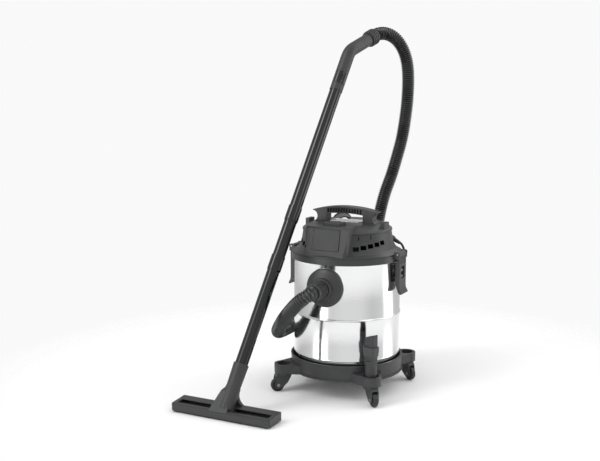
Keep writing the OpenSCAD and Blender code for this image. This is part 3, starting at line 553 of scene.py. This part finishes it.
def make_floor():
    span = 60
    corners = [(-span, -span, 0), (span, -span, 0), (span, span, 0), (-span, span, 0)]
    floor = new_piece("floor", corners, [(0, 1, 2, 3)])
    recipe = Recipe("floor_paint")
    broad = recipe.noise(0.7, 2)
    recipe.colours(broad, [(0.3, (0.93, 0.93, 0.93)), (0.7, (0.95, 0.95, 0.95))])
    recipe.roughness(broad, 0.8, 0.9)
    recipe.shader.inputs["Specular IOR Level"].default_value = 0.1
    away = recipe.tree.nodes.new("ShaderNodeVectorMath")
    away.operation = "LENGTH"
    recipe.link(recipe.place, away.inputs[0])
    fade = recipe.tree.nodes.new("ShaderNodeMixShader")
    recipe.link(recipe.ramp(away.outputs["Value"], 0.65, 1.15, 0, 1), fade.inputs["Fac"])
    recipe.link(recipe.shader.outputs["BSDF"], fade.inputs[1])
    recipe.link(recipe.tree.nodes.new("ShaderNodeBsdfTransparent").outputs["BSDF"], fade.inputs[2])
    recipe.link(fade.outputs["Shader"], recipe.tree.nodes["Material Output"].inputs["Surface"])
    paint(floor, recipe.material)


def make_world():
    """White surroundings with a few soft grey bands, which the polished drum reflects."""
    world = bpy.data.worlds.new("studio")
    bpy.context.scene.world = world
    world.use_nodes = True
    tree = world.node_tree
    background = tree.nodes["Background"]
    place = tree.nodes.new("ShaderNodeTexCoord").outputs["Generated"]
    split = tree.nodes.new("ShaderNodeSeparateXYZ")
    tree.links.new(place, split.inputs["Vector"])
    turn = tree.nodes.new("ShaderNodeMath")
    turn.operation = "ARCTAN2"
    tree.links.new(split.outputs["Y"], turn.inputs[0])
    tree.links.new(split.outputs["X"], turn.inputs[1])
    share = tree.nodes.new("ShaderNodeMapRange")
    share.inputs["From Min"].default_value = -math.pi
    share.inputs["From Max"].default_value = math.pi
    tree.links.new(turn.outputs["Value"], share.inputs["Value"])
    bands = tree.nodes.new("ShaderNodeValToRGB")
    steps = bands.color_ramp.elements
    greys = [
        (0, 0.60), (0.10, 0.78), (0.145, 4.0), (0.165, 4.0), (0.21, 0.80), (0.30, 0.92), (0.40, 0.90),
        (0.47, 0.72), (0.55, 0.82), (0.585, 3.5), (0.605, 3.5), (0.65, 0.70), (1, 0.60),
    ]
    while len(steps) < len(greys):
        steps.new(0.5)
    for step, (position, grey) in zip(steps, greys):
        step.position = position
        step.color = (grey, grey, grey, 1)
    tree.links.new(share.outputs["Result"], bands.inputs["Fac"])
    tree.links.new(bands.outputs["Color"], background.inputs["Color"])
    background.inputs["Strength"].default_value = 0.9
    plain = tree.nodes.new("ShaderNodeBackground")
    plain.inputs["Color"].default_value = (0.95, 0.95, 0.95, 1)
    seen = tree.nodes.new("ShaderNodeMixShader")
    tree.links.new(tree.nodes.new("ShaderNodeLightPath").outputs["Is Camera Ray"], seen.inputs["Fac"])
    tree.links.new(background.outputs["Background"], seen.inputs[1])
    tree.links.new(plain.outputs["Background"], seen.inputs[2])
    tree.links.new(seen.outputs["Shader"], tree.nodes["World Output"].inputs["Surface"])


def make_lights():
    lamps = [
        ("key", (-1.5, -1.8, 2.6), 1.4, 16),
        ("fill", (2.4, -0.8, 1.8), 1.2, 7),
        ("back", (0.6, 2.2, 2.2), 1.4, 8),
    ]
    for name, place, size, power in lamps:
        data = bpy.data.lights.new(name, "AREA")
        data.shape = "DISK"
        data.size = size
        data.energy = power
        lamp = bpy.data.objects.new(name, data)
        bpy.context.scene.collection.objects.link(lamp)
        lamp.location = place
        towards = Vector((0, 0, 0.35)) - Vector(place)
        lamp.rotation_mode = "QUATERNION"
        lamp.rotation_quaternion = towards.to_track_quat("-Z", "Y")


# --- Scene ---------------------------------------------------------------------------------

bpy.context.scene.view_settings.view_transform = "Standard"
make_camera()
materials = make_materials()
for part in frame["record"]["subparts"]:
    paint(NODES[part["node"]], materials[part["material_slot"]])

paint(make_power_cord(), materials["cord_rubber"])
paint(make_hose(), materials["hose_plastic"])
paint(make_drum(), materials["polished_steel"])
for keeper in make_keepers():
    paint(keeper, materials["polished_steel"])
paint(make_nozzle_bristles(), materials["bristle"])
make_top_plate()
make_floor()
make_world()
make_lights()
